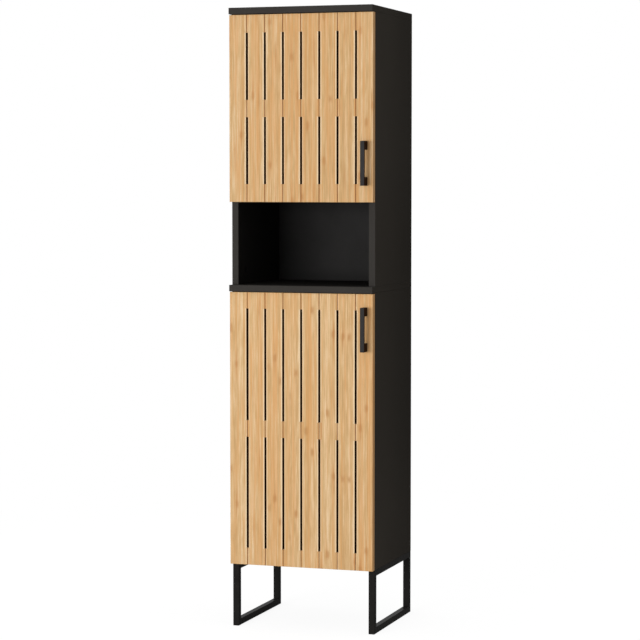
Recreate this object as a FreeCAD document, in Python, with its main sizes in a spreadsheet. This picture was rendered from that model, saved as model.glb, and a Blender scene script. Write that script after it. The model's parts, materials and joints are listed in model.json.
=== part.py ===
import FreeCAD, Part
import operator
import os

import Sketcher
from FreeCAD import Placement, Rotation, Vector

# Tall bathroom cabinet: two slatted doors over and under an open niche, on two sled legs.
# X runs to the cabinet's right, Y to its back, Z up. The origin lies on the floor, in the
# middle of the width and half way from the handles' fronts to the cabinet's back.
# Lengths are in millimetres.

doc = FreeCAD.newDocument("tall_bathroom_cabinet")
sheet = doc.addObject("Spreadsheet::Sheet", "sizes")
nodes = []

OPERATIONS = {
    "+": operator.add,
    "-": operator.sub,
    "*": operator.mul,
    "/": operator.truediv,
}


class Size:
    """A length that carries its value and the formula that the document keeps for it."""

    def __init__(self, text, value):
        self.text = text
        self.value = float(value)

    def __add__(self, other):
        return combined(self, "+", other)

    def __radd__(self, other):
        return combined(other, "+", self)

    def __sub__(self, other):
        return combined(self, "-", other)

    def __rsub__(self, other):
        return combined(other, "-", self)

    def __mul__(self, other):
        return combined(self, "*", other)

    def __rmul__(self, other):
        return combined(other, "*", self)

    def __truediv__(self, other):
        return combined(self, "/", other)

    def __neg__(self):
        return combined(0, "-", self)


def as_size(length):
    return length if isinstance(length, Size) else Size(str(length), length)


def combined(left, sign, right):
    left = as_size(left)
    right = as_size(right)
    value = OPERATIONS[sign](left.value, right.value)
    return Size(f"({left.text} {sign} {right.text})", value)


def size(alias, number):
    """Write one driving dimension in the sheet and return it for use in formulas."""
    size.rows += 1
    sheet.set(f"A{size.rows}", alias)
    sheet.set(f"B{size.rows}", str(number))
    sheet.setAlias(f"B{size.rows}", alias)
    return Size(f"sizes.{alias}", number)


size.rows = 0

# Overall
cabinet_width = size("cabinet_width", 350)
cabinet_height = size("cabinet_height", 1450)
board_depth = size("board_depth", 320)
panel = size("panel", 15)
board_round = size("board_round", 1)

# Heights
leg_height = size("leg_height", 150)
niche_floor = size("niche_floor", 807)
niche_height = size("niche_height", 193)

# Doors
door_thickness = size("door_thickness", 15)
door_setback = size("door_setback", 5)
door_gap = size("door_gap", 2)
door_end_gap = size("door_end_gap", 1.5)
upper_door_rise = size("upper_door_rise", 0.5)
left_trim = size("left_trim", 0.5)
right_trim = size("right_trim", 3.1)
slat_ease = size("slat_ease", 0.6)
slot_width = size("slot_width", 4)
upper_slot_margin = size("upper_slot_margin", 41.5)
upper_slot_land = size("upper_slot_land", 40)
lower_slot_foot = size("lower_slot_foot", 40)
lower_slot_land = size("lower_slot_land", 39)
lower_slot_head = size("lower_slot_head", 38)

# Handles
handle_length = size("handle_length", 102)
handle_width = size("handle_width", 10)
handle_bar = size("handle_bar", 6)
handle_foot = size("handle_foot", 20)
handle_projection = size("handle_projection", 25)
handle_edge = size("handle_edge", 18.5)
handle_round = size("handle_round", 0.8)
upper_handle_rise = size("upper_handle_rise", 89)
lower_handle_drop = size("lower_handle_drop", 81.5)
handle_screw_radius = size("handle_screw_radius", 2)
handle_screw_grip = size("handle_screw_grip", 9)
handle_head_radius = size("handle_head_radius", 4)
handle_head_height = size("handle_head_height", 2.8)
handle_head_sink = size("handle_head_sink", 3.5)

# Leg frames
tube = size("tube", 15)
tube_wall = size("tube_wall", 1.5)
tube_round = size("tube_round", 1.2)
frame_screw_radius = size("frame_screw_radius", 2.5)
frame_screw_grip = size("frame_screw_grip", 12)
frame_head_radius = size("frame_head_radius", 4.3)
frame_head_height = size("frame_head_height", 3)
frame_screw_inset = size("frame_screw_inset", 30)

# Backs and shelves
back_thickness = size("back_thickness", 3)
back_inset = size("back_inset", 8)
groove_depth = size("groove_depth", 5)
groove_play = size("groove_play", 0.2)
shelf_play = size("shelf_play", 0.5)
shelf_setback = size("shelf_setback", 20)
pin_radius = size("pin_radius", 2.5)
pin_drop = size("pin_drop", 0.25)
pin_bore_depth = size("pin_bore_depth", 10)
pin_tongue = size("pin_tongue", 9)
pin_tongue_width = size("pin_tongue_width", 8)
pin_tongue_thickness = size("pin_tongue_thickness", 3)
pin_margin = size("pin_margin", 40)
pin_pitch = size("pin_pitch", 32)

# Panel fittings: a cam in one panel draws in a bolt that stands in the other, beside a dowel
fit_play = size("fit_play", 0.05)
cam_radius = size("cam_radius", 7.5)
cam_depth = size("cam_depth", 12)
cam_reach = size("cam_reach", 34)
bolt_radius = size("bolt_radius", 3)
bolt_hold = size("bolt_hold", 10)
dowel_radius = size("dowel_radius", 4)
dowel_half = size("dowel_half", 10)
fitting_inset = size("fitting_inset", 50)
dowel_spacing = size("dowel_spacing", 32)

# Single-pin concealed hinges
hinge_margin = size("hinge_margin", 90)
hinge_edge_ease = size("hinge_edge_ease", 2)
cup_radius = size("cup_radius", 13)
cup_depth = size("cup_depth", 11)
cup_wall = size("cup_wall", 0.8)
cup_edge = size("cup_edge", 3)
cup_ear = size("cup_ear", 9)
cup_ear_width = size("cup_ear_width", 14)
cup_ear_thickness = size("cup_ear_thickness", 1)
cup_screw_radius = size("cup_screw_radius", 1.7)
cup_screw_grip = size("cup_screw_grip", 9)
cup_head_radius = size("cup_head_radius", 3)
cup_head_height = size("cup_head_height", 0.6)
hinge_pin_radius = size("hinge_pin_radius", 1.25)
hinge_pin_length = size("hinge_pin_length", 15)
hinge_pin_edge = size("hinge_pin_edge", 7)
hinge_pin_sink = size("hinge_pin_sink", 7.5)
knuckle_radius = size("knuckle_radius", 2.1)
cheek_half = size("cheek_half", 2.6)
cheek_play = size("cheek_play", 0.3)
arm_thickness = size("arm_thickness", 2)
arm_width = size("arm_width", 8)
arm_reach = size("arm_reach", 9.6)
arm_length = size("arm_length", 48)
plate_length = size("plate_length", 24)
plate_height = size("plate_height", 46)
plate_setback = size("plate_setback", 37)
plate_screw_half = size("plate_screw_half", 16)
plate_screw_radius = size("plate_screw_radius", 2)
plate_screw_grip = size("plate_screw_grip", 11)
plate_head_radius = size("plate_head_radius", 3.8)
plate_head_height = size("plate_head_height", 1.6)

# Bumpers on the handle side
bumper_radius = size("bumper_radius", 4)
bumper_play = size("bumper_play", 0.3)
bumper_inset = size("bumper_inset", 12)

SLATS = 8
SHELF_PIN_ROWS = (-1, 0, 1)

# Places and lengths that differ by less than this are the same
NEAR = 1e-4

# Places along Y
overall_depth = board_depth + handle_projection - door_setback
board_front = handle_projection - door_setback - overall_depth / 2
rear = board_front + board_depth
door_front = board_front + door_setback
door_rear = door_front + door_thickness
carcass_front = door_rear + door_gap
carcass_depth = rear - carcass_front
groove_rear = rear - back_inset
groove_width = back_thickness + 2 * groove_play
groove_front = groove_rear - groove_width
inner_depth = groove_front - carcass_front
fitting_places = (carcass_front + fitting_inset, groove_front - fitting_inset)

# Places along X
right = cabinet_width / 2
left = -right
inner_right = right - panel
inner_left = left + panel
inner_width = cabinet_width - 2 * panel
groove_reach = groove_depth - groove_play

# Heights
bottom_top = leg_height + panel
middle_under = niche_floor - panel
ceiling_under = niche_floor + niche_height
ceiling_top = ceiling_under + panel
top_under = cabinet_height - panel
upper_door_top = top_under - door_end_gap
lower_door_top = middle_under - door_end_gap
upper_door_low = ceiling_under + upper_door_rise
upper_door_height = upper_door_top - upper_door_low
lower_door_height = lower_door_top - leg_height

# The axis of each door's hinge pins
pivot_x = left + hinge_pin_edge
pivot_y = door_rear - hinge_pin_sink

TURNS = {
    "X": Rotation(Vector(0, 1, 0), 90),
    "Y": Rotation(Vector(1, 0, 0), -90),
    "Z": Rotation(),
}


def bind(thing, **lengths):
    for name, length in lengths.items():
        thing.setExpression(name, as_size(length).text)


def place(thing, x, y, z):
    for axis, length in zip("xyz", (x, y, z)):
        thing.setExpression(f"Placement.Base.{axis}", as_size(length).text)


def block(name, corner, lengths):
    """A box from its lowest corner."""
    solid = doc.addObject("Part::Box", name)
    bind(solid, Length=lengths[0], Width=lengths[1], Height=lengths[2])
    place(solid, *corner)
    return solid


def rod(name, axis, start, radius, length):
    """A cylinder that runs from its start towards the axis's positive end."""
    solid = doc.addObject("Part::Cylinder", name)
    solid.Placement = Placement(Vector(), TURNS[axis])
    bind(solid, Radius=radius, Height=length)
    place(solid, *start)
    return solid


def joined(name, solids):
    fuse = doc.addObject("Part::MultiFuse", name)
    fuse.Shapes = solids
    return fuse


def without(name, base, tools):
    """The base less its tools, which may be one solid or many."""
    cut = doc.addObject("Part::Cut", name)
    cut.Base = base
    cut.Tool = tools[0] if len(tools) == 1 else joined(name + "_tools", tools)
    return cut


def keep(name, solid):
    """Name a finished sub-part: the label names its file."""
    solid.Label = name
    nodes.append(solid)
    return solid


# Panel fittings ---------------------------------------------------------------------------

cams = []
bolts = []
dowels = []


def upright_fitting(name, side_face, inward, x, y, end, into):
    """Cam, bolt and dowel where a side panel's end meets a board above or below it.

    side_face is the panel's inner face and inward points from it into the cabinet; end is the
    height of the joint, and into points up or down, from the joint into the side panel. Returns
    the cutting tools for the panel and those for the board.
    """
    cam_start = side_face if inward < 0 else side_face - cam_depth
    cam_height = end + into * cam_reach
    cam = rod(f"{name}_cam", "X", (cam_start, y, cam_height), cam_radius, cam_depth)
    cam_bore = rod(f"{name}_cam_bore", "X", (cam_start, y, cam_height), cam_radius + fit_play, cam_depth)
    stem = cam_reach - cam_radius - fit_play
    stem_low = end if into > 0 else end - stem
    hold_low = end - bolt_hold if into > 0 else end
    bolt_low = hold_low if into > 0 else stem_low
    bolts.append(rod(f"{name}_bolt", "Z", (x, y, bolt_low), bolt_radius, stem + bolt_hold))
    cams.append(cam)
    bore_radius = bolt_radius + fit_play
    stem_bore = rod(f"{name}_stem_bore", "Z", (x, y, stem_low), bore_radius, stem)
    hold_bore = rod(f"{name}_hold_bore", "Z", (x, y, hold_low), bore_radius, bolt_hold)
    toward_middle = 1 if y is fitting_places[0] else -1
    dowel_y = y + toward_middle * dowel_spacing
    dowel_start = (x, dowel_y, end - dowel_half)
    dowels.append(rod(f"{name}_dowel", "Z", dowel_start, dowel_radius, 2 * dowel_half))
    dowel_bore_radius = dowel_radius + fit_play
    panel_low = end if into > 0 else end - dowel_half
    board_low = end - dowel_half if into > 0 else end
    panel_bore = rod(f"{name}_dowel_bore", "Z", (x, dowel_y, panel_low), dowel_bore_radius, dowel_half)
    board_bore = rod(f"{name}_dowel_seat", "Z", (x, dowel_y, board_low), dowel_bore_radius, dowel_half)
    return [cam_bore, stem_bore, panel_bore], [hold_bore, board_bore]


def level_fitting(name, side_face, inward, y, low, cam_side):
    """Cam, bolt and dowel where a board's end meets a side panel's inner face.

    low is the board's underside. The cam shows on its top with a cam_side of 1, and on its
    underside with -1. Returns the cutting tools for the board and those for the panel.
    """
    height = low + panel / 2
    cam_x = side_face + inward * cam_reach
    cam_low = low + panel - cam_depth if cam_side > 0 else low
    cams.append(rod(f"{name}_cam", "Z", (cam_x, y, cam_low), cam_radius, cam_depth))
    cam_bore = rod(f"{name}_cam_bore", "Z", (cam_x, y, cam_low), cam_radius + fit_play, cam_depth)
    stem = cam_reach - cam_radius - fit_play
    stem_start = side_face if inward > 0 else side_face - stem
    hold_start = side_face - bolt_hold if inward > 0 else side_face
    bolt_start = hold_start if inward > 0 else stem_start
    bolts.append(rod(f"{name}_bolt", "X", (bolt_start, y, height), bolt_radius, stem + bolt_hold))
    bore_radius = bolt_radius + fit_play
    stem_bore = rod(f"{name}_stem_bore", "X", (stem_start, y, height), bore_radius, stem)
    hold_bore = rod(f"{name}_hold_bore", "X", (hold_start, y, height), bore_radius, bolt_hold)
    toward_middle = 1 if y is fitting_places[0] else -1
    dowel_y = y + toward_middle * dowel_spacing
    dowel_start = side_face - dowel_half
    dowel_length = 2 * dowel_half
    dowels.append(
        rod(f"{name}_dowel", "X", (dowel_start, dowel_y, height), dowel_radius, dowel_length)
    )
    dowel_bore_radius = dowel_radius + fit_play
    board_start = side_face if inward > 0 else dowel_start
    panel_start = dowel_start if inward > 0 else side_face
    board_start = (board_start, dowel_y, height)
    panel_start = (panel_start, dowel_y, height)
    board_bore = rod(f"{name}_dowel_bore", "X", board_start, dowel_bore_radius, dowel_half)
    panel_bore = rod(f"{name}_dowel_seat", "X", panel_start, dowel_bore_radius, dowel_half)
    return [cam_bore, stem_bore, board_bore], [hold_bore, panel_bore]


# Sketched bodies --------------------------------------------------------------------------

def new_body(name):
    return doc.addObject("PartDesign::Body", name)


def sketch_on(body, name, role):
    plane = next(datum for datum in body.Origin.OriginFeatures if datum.Role == role)
    sketch = body.newObject("Sketcher::SketchObject", name)
    sketch.AttachmentSupport = (plane, [""])
    sketch.MapMode = "FlatFace"
    return sketch


def fix_point(sketch, curve, point, x, y):
    """Hold one point of a curve at a place given from the sketch's origin."""
    for kind, length in (("DistanceX", x), ("DistanceY", y)):
        length = as_size(length)
        index = sketch.addConstraint(Sketcher.Constraint(kind, curve, point, length.value))
        sketch.setExpression(f"Constraints[{index}]", length.text)


def add_outline(sketch, points):
    """A closed outline of straight lines."""
    first = sketch.GeometryCount
    corners = [Vector(as_size(x).value, as_size(y).value, 0) for x, y in points]
    for start, end in zip(corners, corners[1:] + corners[:1]):
        sketch.addGeometry(Part.LineSegment(start, end))
    for index in range(len(points)):
        after = (index + 1) % len(points)
        sketch.addConstraint(Sketcher.Constraint("Coincident", first + index, 2, first + after, 1))
    for index, (x, y) in enumerate(points):
        fix_point(sketch, first + index, 1, x, y)


def add_circle(sketch, x, y, radius):
    curve = sketch.addGeometry(Part.Circle(Vector(x.value, y.value, 0), Vector(0, 0, 1), radius.value))
    index = sketch.addConstraint(Sketcher.Constraint("Radius", curve, radius.value))
    sketch.setExpression(f"Constraints[{index}]", radius.text)
    fix_point(sketch, curve, 3, x, y)


def rectangle(x, y, width, height):
    return [(x, y), (x + width, y), (x + width, y + height), (x, y + height)]


def pad(body, sketch, length):
    feature = body.newObject("PartDesign::Pad", sketch.Name + "_pad")
    feature.Profile = sketch
    bind(feature, Length=length)
    doc.recompute()
    return feature


def pocket(body, sketch, length, reverse):
    """Cut a sketch's outlines into the body, and check that wood or metal was taken away."""
    before = body.Shape.Volume
    feature = body.newObject("PartDesign::Pocket", sketch.Name + "_pocket")
    feature.Profile = sketch
    feature.Reversed = reverse
    bind(feature, Length=length)
    doc.recompute()
    if body.Shape.Volume > before - 1:
        raise ValueError(f"{feature.Name} cuts nothing")
    return feature


def edges_where(shape, test):
    return [f"Edge{index + 1}" for index, edge in enumerate(shape.Edges) if test(edge.BoundBox)]


def ease(body, kind, base, edges, length):
    """Chamfer or round a list of the base feature's edges."""
    feature = body.newObject(f"PartDesign::{kind}", f"{body.Name}_{kind.lower()}_{len(body.Group)}")
    feature.Base = (base, edges)
    bind(feature, **{"Size" if kind == "Chamfer" else "Radius": length})
    doc.recompute()
    return feature


def near(first, second):
    return abs(first - second) < NEAR


# Carcass ----------------------------------------------------------------------------------

side_x = {"left": left + panel / 2, "right": right - panel / 2}
side_face = {"left": inner_left, "right": inner_right}
side_start = {"left": left, "right": inner_right}
side_inward = {"left": 1, "right": -1}
groove_start = {"left": inner_left - groove_depth, "right": inner_right}

side_tools = {(level, side): [] for level in ("upper", "lower") for side in ("left", "right")}
board_tools = {name: [] for name in ("top", "middle", "bottom", "ceiling")}


def fit_side(level, side, board, end, into):
    for number, y in enumerate(fitting_places, start=1):
        name = f"{level}_{side}_{board}_{number}"
        panel_cuts, board_cuts = upright_fitting(
            name, side_face[side], side_inward[side], side_x[side], y, end, into
        )
        side_tools[level, side] += panel_cuts
        board_tools[board] += board_cuts


for side in ("left", "right"):
    fit_side("upper", side, "top", top_under, -1)
    fit_side("upper", side, "middle", niche_floor, 1)
    fit_side("lower", side, "middle", middle_under, -1)
    for board, level, low, cam_side in (
        ("ceiling", "upper", ceiling_under, 1),
        ("bottom", "lower", leg_height, -1),
    ):
        for number, y in enumerate(fitting_places, start=1):
            board_cuts, panel_cuts = level_fitting(
                f"{board}_{side}_{number}", side_face[side], side_inward[side], y, low, cam_side
            )
            board_tools[board] += board_cuts
            side_tools[level, side] += panel_cuts
    for level, low, high in (
        ("upper", niche_floor, top_under),
        ("lower", bottom_top - groove_depth, middle_under),
    ):
        corner = (groove_start[side], groove_front, low)
        groove = block(f"{level}_{side}_groove", corner, (groove_depth, groove_width, high - low))
        side_tools[level, side].append(groove)


def back_groove(name, low):
    """The groove in a board's face that holds an edge of a back panel."""
    corner = (inner_left - groove_depth, groove_front, low)
    return block(name, corner, (inner_width + 2 * groove_depth, groove_width, groove_depth))


board_tools["top"].append(back_groove("top_groove", top_under))
board_tools["middle"].append(back_groove("middle_upper_groove", niche_floor - groove_depth))
board_tools["middle"].append(back_groove("middle_lower_groove", middle_under))
board_tools["bottom"].append(back_groove("bottom_groove", bottom_top - groove_depth))

# Shelf pins and their bores, three heights to each shelf
shelf_depth = inner_depth - shelf_setback - shelf_play
shelf_front = carcass_front + shelf_setback
lower_space = (middle_under - bottom_top - 2 * panel) / 3
shelf_heights = {
    "upper_shelf": ("upper", ceiling_top + (top_under - ceiling_top - panel) / 2),
    "lower_shelf_low": ("lower", bottom_top + lower_space),
    "lower_shelf_high": ("lower", bottom_top + 2 * lower_space + panel),
}
pins = []
for shelf, (level, under) in shelf_heights.items():
    for side in ("left", "right"):
        inward = side_inward[side]
        face = side_face[side]
        for number, y in enumerate((shelf_front + pin_margin, shelf_front + shelf_depth - pin_margin), 1):
            name = f"{shelf}_{side}_{number}"
            pin_z = under - pin_radius - pin_drop
            bore_start = face - pin_bore_depth if inward > 0 else face
            for row in SHELF_PIN_ROWS:
                start = (bore_start, y, pin_z + row * pin_pitch)
                side_tools[level, side].append(
                    rod(f"{name}_bore_{row + 2}", "X", start, pin_radius + fit_play, pin_bore_depth)
                )
            peg_length = pin_bore_depth - shelf_play + pin_tongue / 2
            peg_start = face - pin_bore_depth + shelf_play if inward > 0 else face - pin_tongue / 2
            peg = rod(f"{name}_peg", "X", (peg_start, y, pin_z), pin_radius, peg_length)
            tongue_start = face if inward > 0 else face - pin_tongue
            tongue = block(
                f"{name}_tongue",
                (tongue_start, y - pin_tongue_width / 2, under - pin_tongue_thickness),
                (pin_tongue, pin_tongue_width, pin_tongue_thickness),
            )
            pins += [peg, tongue]

# Hinge heights and the screws that hold each hinge's plate to the left panels
hinge_heights = {
    "upper": (upper_door_low + hinge_margin, upper_door_top - hinge_margin),
    "lower": (leg_height + hinge_margin, lower_door_top - hinge_margin),
}
plate_thickness = (arm_reach + pivot_x) - inner_left
plate_y = carcass_front + plate_setback
plate_screws = {"upper": [], "lower": []}
plate_bores = {"upper": [], "lower": []}
for level, heights in hinge_heights.items():
    for number, height in enumerate(heights, start=1):
        for end, offset in (("low", -plate_screw_half), ("high", plate_screw_half)):
            name = f"{level}_plate_{number}_{end}"
            z = height + offset
            shank_start = (inner_left - plate_screw_grip, plate_y, z)
            length = plate_screw_grip + plate_thickness
            shank = rod(f"{name}_shank", "X", shank_start, plate_screw_radius, length)
            head_start = (inner_left + plate_thickness, plate_y, z)
            head = rod(f"{name}_head", "X", head_start, plate_head_radius, plate_head_height)
            plate_screws[level] += [shank, head]
            bore_radius = plate_screw_radius + fit_play
            side_tools[level, "left"].append(
                rod(f"{name}_bore", "X", shank_start, bore_radius, plate_screw_grip)
            )
            plate_bores[level].append(
                rod(f"{name}_plate_bore", "X", (inner_left, plate_y, z), bore_radius, plate_thickness)
            )

# Boards and side panels, cut for their fittings

def rounded_board(name, corner, lengths):
    """A board whose front and end edges are rounded over."""
    body = new_body(name + "_blank")
    sketch = sketch_on(body, name + "_plan", "XY_Plane")
    add_outline(sketch, rectangle(as_size(0), as_size(0), lengths[0], lengths[1]))
    blank = pad(body, sketch, lengths[2])
    depth = lengths[1].value
    edges = edges_where(blank.Shape, lambda box: not (near(box.YMin, depth) and near(box.YMax, depth)))
    ease(body, "Fillet", blank, edges, board_round)
    place(body, *corner)
    return body


full_width = (cabinet_width, board_depth, panel)
for board, low in (("top", top_under), ("middle", middle_under)):
    blank = rounded_board(f"{board}_board", (left, board_front, low), full_width)
    keep(f"{board}_board", without(f"{board}_board", blank, board_tools[board]))

frame_screw_places = (
    carcass_front + frame_screw_inset,
    carcass_front + carcass_depth / 2,
    rear - frame_screw_inset,
)
for side in ("left", "right"):
    for number, y in enumerate(frame_screw_places, start=1):
        start = (side_x[side], y, leg_height)
        name = f"frame_{side}_{number}_seat"
        side_tools["lower", side].append(
            rod(name, "Z", start, frame_screw_radius + fit_play, frame_screw_grip)
        )

for board, name, low, depth in (
    ("bottom", "bottom_board", leg_height, carcass_depth),
    ("ceiling", "niche_ceiling", ceiling_under, inner_depth),
):
    blank = block(name + "_blank", (inner_left, carcass_front, low), (inner_width, depth, panel))
    keep(name, without(name, blank, board_tools[board]))

for level, low, high in (("upper", niche_floor, top_under), ("lower", leg_height, middle_under)):
    for side in ("left", "right"):
        name = f"{level}_side_{side}"
        corner = (side_start[side], carcass_front, low)
        blank = block(name + "_blank", corner, (panel, carcass_depth, high - low))
        keep(name, without(name, blank, side_tools[level, side]))

for level, low, high in (("upper", niche_floor, top_under), ("lower", bottom_top, middle_under)):
    corner = (inner_left - groove_reach, groove_front + groove_play, low - groove_reach)
    lengths = (inner_width + 2 * groove_reach, back_thickness, high - low + 2 * groove_reach)
    keep(f"{level}_back", block(f"{level}_back", corner, lengths))

for shelf, (level, under) in shelf_heights.items():
    corner = (inner_left + shelf_play, shelf_front, under)
    keep(shelf, rounded_board(shelf, corner, (inner_width - 2 * shelf_play, shelf_depth, panel)))

keep("shelf_pins", joined("shelf_pins", pins))
keep("cams", joined("cams", cams))
keep("cam_bolts", joined("cam_bolts", bolts))
keep("dowels", joined("dowels", dowels))


# Leg frames: one welded loop of square tube under each side -------------------------------

def leg_frame(side):
    name = f"leg_frame_{side}"
    body = new_body(name)
    outside = sketch_on(body, name + "_outside", "YZ_Plane")
    origin = as_size(0)
    add_outline(outside, rectangle(origin, origin, carcass_depth, leg_height))
    add_outline(outside, rectangle(tube, tube, carcass_depth - 2 * tube, leg_height - 2 * tube))
    loop = pad(body, outside, tube)
    across = edges_where(loop.Shape, lambda box: box.XLength < NEAR)
    ease(body, "Fillet", loop, across, tube_round)
    hollow = sketch_on(body, name + "_hollow", "YZ_Plane")
    bind(hollow, **{"AttachmentOffset.Base.z": tube_wall})
    around = carcass_depth - 2 * tube_wall
    up = leg_height - 2 * tube_wall
    within = tube - tube_wall
    add_outline(hollow, rectangle(tube_wall, tube_wall, around, up))
    add_outline(hollow, rectangle(within, within, carcass_depth - 2 * within, leg_height - 2 * within))
    pocket(body, hollow, tube - 2 * tube_wall, True)
    for label, radius, low, depth in (
        ("access", frame_head_radius + 4 * fit_play, leg_height - tube, tube_wall),
        ("screw", frame_screw_radius + fit_play, leg_height - tube_wall, tube_wall),
    ):
        bores = sketch_on(body, f"{name}_{label}", "XY_Plane")
        bind(bores, **{"AttachmentOffset.Base.z": low})
        for y in frame_screw_places:
            add_circle(bores, tube / 2, y - carcass_front, radius)
        pocket(body, bores, depth, True)
    start = left if side == "left" else right - tube
    place(body, start, carcass_front, as_size(0))
    return keep(name, body)


leg_frame("left")
leg_frame("right")
frame_screws = []
for side in ("left", "right"):
    x = left + tube / 2 if side == "left" else right - tube / 2
    for number, y in enumerate(frame_screw_places, start=1):
        head_top = leg_height - tube_wall
        head_start = (x, y, head_top - frame_head_height)
        head = rod(f"frame_{side}_{number}_head", "Z", head_start, frame_head_radius, frame_head_height)
        length = tube_wall + frame_screw_grip
        shank = rod(f"frame_{side}_{number}_shank", "Z", (x, y, head_top), frame_screw_radius, length)
        frame_screws += [head, shank]
keep("leg_frame_screws", joined("leg_frame_screws", frame_screws))


# Doors: bamboo slats glued edge to edge, with slots milled along their joints --------------

handle_heights = {
    "upper": upper_door_low + upper_handle_rise,
    "lower": lower_door_top - lower_handle_drop,
}
# The slats are of one width until the door is trimmed at its left and right
slat_width = (cabinet_width + left_trim + right_trim) / SLATS
first_slat = slat_width - left_trim
last_slat = slat_width - right_trim
slot_half = slot_width / 2
upper_slot = (upper_door_height - 2 * upper_slot_margin - upper_slot_land) / 2
lower_slot = (lower_door_height - lower_slot_foot - lower_slot_land - lower_slot_head) / 2
slot_rows = {
    "upper": (
        (upper_slot_margin, upper_slot_margin + upper_slot),
        (upper_door_height - upper_slot_margin - upper_slot, upper_door_height - upper_slot_margin),
    ),
    "lower": (
        (lower_slot_foot, lower_slot_foot + lower_slot),
        (lower_door_height - lower_slot_head - lower_slot, lower_door_height - lower_slot_head),
    ),
}
door_low = {"upper": upper_door_low, "lower": leg_height}
door_height = {"upper": upper_door_height, "lower": lower_door_height}
cup_x = cup_edge + cup_radius


def slat_outline(level, number):
    """A slat seen from the front, from its own lower left corner."""
    origin = as_size(0)
    height = door_height[level]
    width = {1: first_slat, SLATS: last_slat}.get(number, slat_width)
    points = [(origin, origin), (width, origin)]
    if number < SLATS:
        inner = width - slot_half
        for low, high in slot_rows[level]:
            points += [(width, low), (inner, low), (inner, high), (width, high)]
    points += [(width, height), (origin, height)]
    if number > 1:
        for low, high in reversed(slot_rows[level]):
            points += [(origin, high), (slot_half, high), (slot_half, low), (origin, low)]
    return points


def slat(level, number):
    name = f"{level}_door_slat_{number}"
    body = new_body(name)
    front_view = sketch_on(body, name + "_front", "XZ_Plane")
    add_outline(front_view, slat_outline(level, number))
    blank = pad(body, front_view, door_thickness)
    front = -door_thickness.value
    face_edges = edges_where(blank.Shape, lambda box: near(box.YMin, front) and near(box.YMax, front))
    eased = ease(body, "Chamfer", blank, face_edges, slat_ease)
    if number == 1:
        hinge_side = edges_where(
            eased.Shape, lambda box: near(box.XMax, 0) and near(box.YMin, 0) and near(box.YMax, 0)
        )
        ease(body, "Chamfer", eased, hinge_side, hinge_edge_ease)
        cup_bores = sketch_on(body, name + "_cup_bores", "XZ_Plane")
        screw_bores = sketch_on(body, name + "_screw_bores", "XZ_Plane")
        for height in hinge_heights[level]:
            z = height - door_low[level]
            add_circle(cup_bores, cup_x, z, cup_radius + fit_play)
            for offset in (-(cup_radius + cup_ear / 2), cup_radius + cup_ear / 2):
                add_circle(screw_bores, cup_x, z + offset, cup_screw_radius + fit_play)
        pocket(body, cup_bores, cup_depth + fit_play, True)
        pocket(body, screw_bores, cup_screw_grip, True)
    if number == SLATS:
        through = sketch_on(body, name + "_handle_bores", "XZ_Plane")
        sunk = sketch_on(body, name + "_head_bores", "XZ_Plane")
        x = last_slat - handle_edge
        for offset in (-(handle_length - handle_foot) / 2, (handle_length - handle_foot) / 2):
            z = handle_heights[level] - door_low[level] + offset
            add_circle(through, x, z, handle_screw_radius + fit_play)
            add_circle(sunk, x, z, handle_head_radius + 4 * fit_play)
        pocket(body, through, door_thickness, True)
        pocket(body, sunk, handle_head_sink, True)
    start = left if number == 1 else left + first_slat + (number - 2) * slat_width
    place(body, start, door_rear, door_low[level])
    return keep(name, body)


def handle(level):
    """A flat bar on two feet, seen from the side in its sketch."""
    name = f"{level}_handle"
    body = new_body(name)
    side_view = sketch_on(body, name + "_side", "YZ_Plane")
    origin = as_size(0)
    back = handle_projection
    points = [
        (origin, origin),
        (back, origin),
        (back, handle_foot),
        (handle_bar, handle_foot),
        (handle_bar, handle_length - handle_foot),
        (back, handle_length - handle_foot),
        (back, handle_length),
        (origin, handle_length),
    ]
    add_outline(side_view, points)
    blank = pad(body, side_view, handle_width)
    off_door = edges_where(blank.Shape, lambda box: box.YMax < back.value - NEAR or box.YLength > NEAR)
    ease(body, "Fillet", blank, off_door, handle_round)
    bores = sketch_on(body, name + "_bores", "XZ_Plane")
    bind(bores, **{"AttachmentOffset.Base.z": -(back - handle_screw_grip)})
    for z in (handle_foot / 2, handle_length - handle_foot / 2):
        add_circle(bores, handle_width / 2, z, handle_screw_radius + fit_play)
    pocket(body, bores, handle_screw_grip, False)
    low = handle_heights[level] - handle_length / 2
    place(body, right - handle_edge - handle_width / 2, door_front - back, low)
    return keep(name, body)


def handle_screws(level):
    parts = []
    for number, sign in ((1, -1), (2, 1)):
        z = handle_heights[level] + sign * (handle_length - handle_foot) / 2
        x = right - handle_edge
        seat = door_rear - handle_head_sink
        shank_start = (x, door_front - handle_screw_grip, z)
        length = door_thickness - handle_head_sink + handle_screw_grip
        name = f"{level}_handle_{number}"
        parts.append(rod(name + "_shank", "Y", shank_start, handle_screw_radius, length))
        parts.append(rod(name + "_head", "Y", (x, seat, z), handle_head_radius, handle_head_height))
    return keep(f"{level}_handle_screws", joined(f"{level}_handle_screws", parts))


# Hinges -----------------------------------------------------------------------------------

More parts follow.
